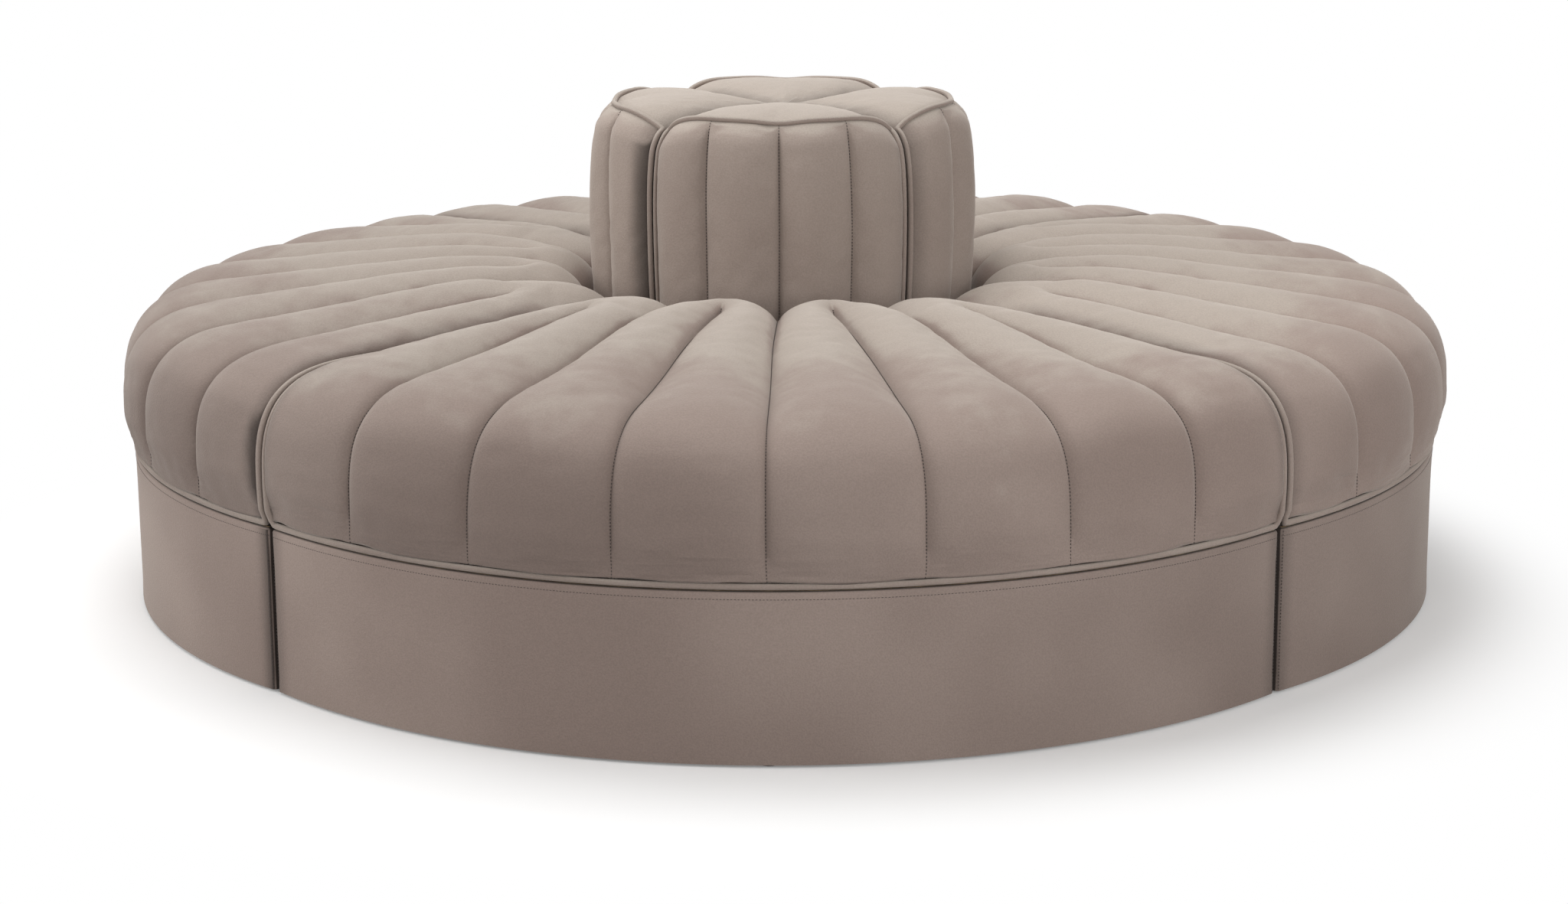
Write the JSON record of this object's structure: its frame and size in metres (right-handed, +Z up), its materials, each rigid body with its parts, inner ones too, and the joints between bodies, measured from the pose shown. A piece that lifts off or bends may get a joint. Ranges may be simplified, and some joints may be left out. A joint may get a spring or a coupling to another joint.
{
  "type": "round sofa",
  "caption": "Round island sofa in channel-tufted velvet: quarter modules with padded seats on a skirted drum base round a central fluted backrest.",
  "frame": {"origin": "on the floor, in the middle of the sofa, where the four modules meet", "axes": "+Z up; -Y towards the front module, +X towards the right module; the modules split on the diagonals"},
  "size_m": [2.0828, 2.0828, 0.7635],
  "materials": {
    "seat_velvet": "taupe velvet, soft matt sheen, brushed nap",
    "back_velvet": "taupe velvet, soft matt sheen, brushed nap",
    "base_velvet": "taupe velvet pulled flat over the base",
    "seat_foam": "cream open-cell foam",
    "birch_plywood": "raw birch plywood",
    "pine_boards": "raw pine boards",
    "foot_plastic": "black moulded plastic",
    "clip_steel": "zinc-plated steel"
  },
  "bodies": {
    "rear_module": {"rear_seat_cover": "seat_velvet", "rear_seat_foam": "seat_foam", "rear_seat_deck": "birch_plywood", "rear_front_panel": "birch_plywood", "rear_side_panel_left": "birch_plywood", "rear_side_panel_right": "birch_plywood", "rear_base_cover": "base_velvet", "rear_back_frame": "pine_boards", "rear_back_cover": "back_velvet", "rear_foot_left": "foot_plastic", "rear_foot_right": "foot_plastic", "rear_foot_front": "foot_plastic", "rear_foot_inner": "foot_plastic", "rear_clip_tongue": "clip_steel", "rear_clip_jaw": "clip_steel"},
    "front_module": {"front_seat_cover": "seat_velvet", "front_seat_foam": "seat_foam", "front_seat_deck": "birch_plywood", "front_front_panel": "birch_plywood", "front_side_panel_left": "birch_plywood", "front_side_panel_right": "birch_plywood", "front_base_cover": "base_velvet", "front_back_frame": "pine_boards", "front_back_cover": "back_velvet", "front_foot_left": "foot_plastic", "front_foot_right": "foot_plastic", "front_foot_front": "foot_plastic", "front_foot_inner": "foot_plastic", "front_clip_tongue": "clip_steel", "front_clip_jaw": "clip_steel"},
    "left_module": {"left_seat_cover": "seat_velvet", "left_seat_foam": "seat_foam", "left_seat_deck": "birch_plywood", "left_front_panel": "birch_plywood", "left_side_panel_left": "birch_plywood", "left_side_panel_right": "birch_plywood", "left_base_cover": "base_velvet", "left_back_frame": "pine_boards", "left_back_cover": "back_velvet", "left_foot_left": "foot_plastic", "left_foot_right": "foot_plastic", "left_foot_front": "foot_plastic", "left_foot_inner": "foot_plastic", "left_clip_tongue": "clip_steel", "left_clip_jaw": "clip_steel"},
    "right_module": {"right_seat_cover": "seat_velvet", "right_seat_foam": "seat_foam", "right_seat_deck": "birch_plywood", "right_front_panel": "birch_plywood", "right_side_panel_left": "birch_plywood", "right_side_panel_right": "birch_plywood", "right_base_cover": "base_velvet", "right_back_frame": "pine_boards", "right_back_cover": "back_velvet", "right_foot_left": "foot_plastic", "right_foot_right": "foot_plastic", "right_foot_front": "foot_plastic", "right_foot_inner": "foot_plastic", "right_clip_tongue": "clip_steel", "right_clip_jaw": "clip_steel"}
  },
  "joints": [
    {"name": "front_slide", "type": "slide", "parent": "rear_module", "child": "front_module", "axis": [0, -1, 0], "range_m": [0, 0.6]},
    {"name": "left_slide", "type": "slide", "parent": "rear_module", "child": "left_module", "axis": [-1, 0, 0], "range_m": [0, 0.6]},
    {"name": "right_slide", "type": "slide", "parent": "rear_module", "child": "right_module", "axis": [1, 0, 0], "range_m": [0, 0.6]}
  ]
}
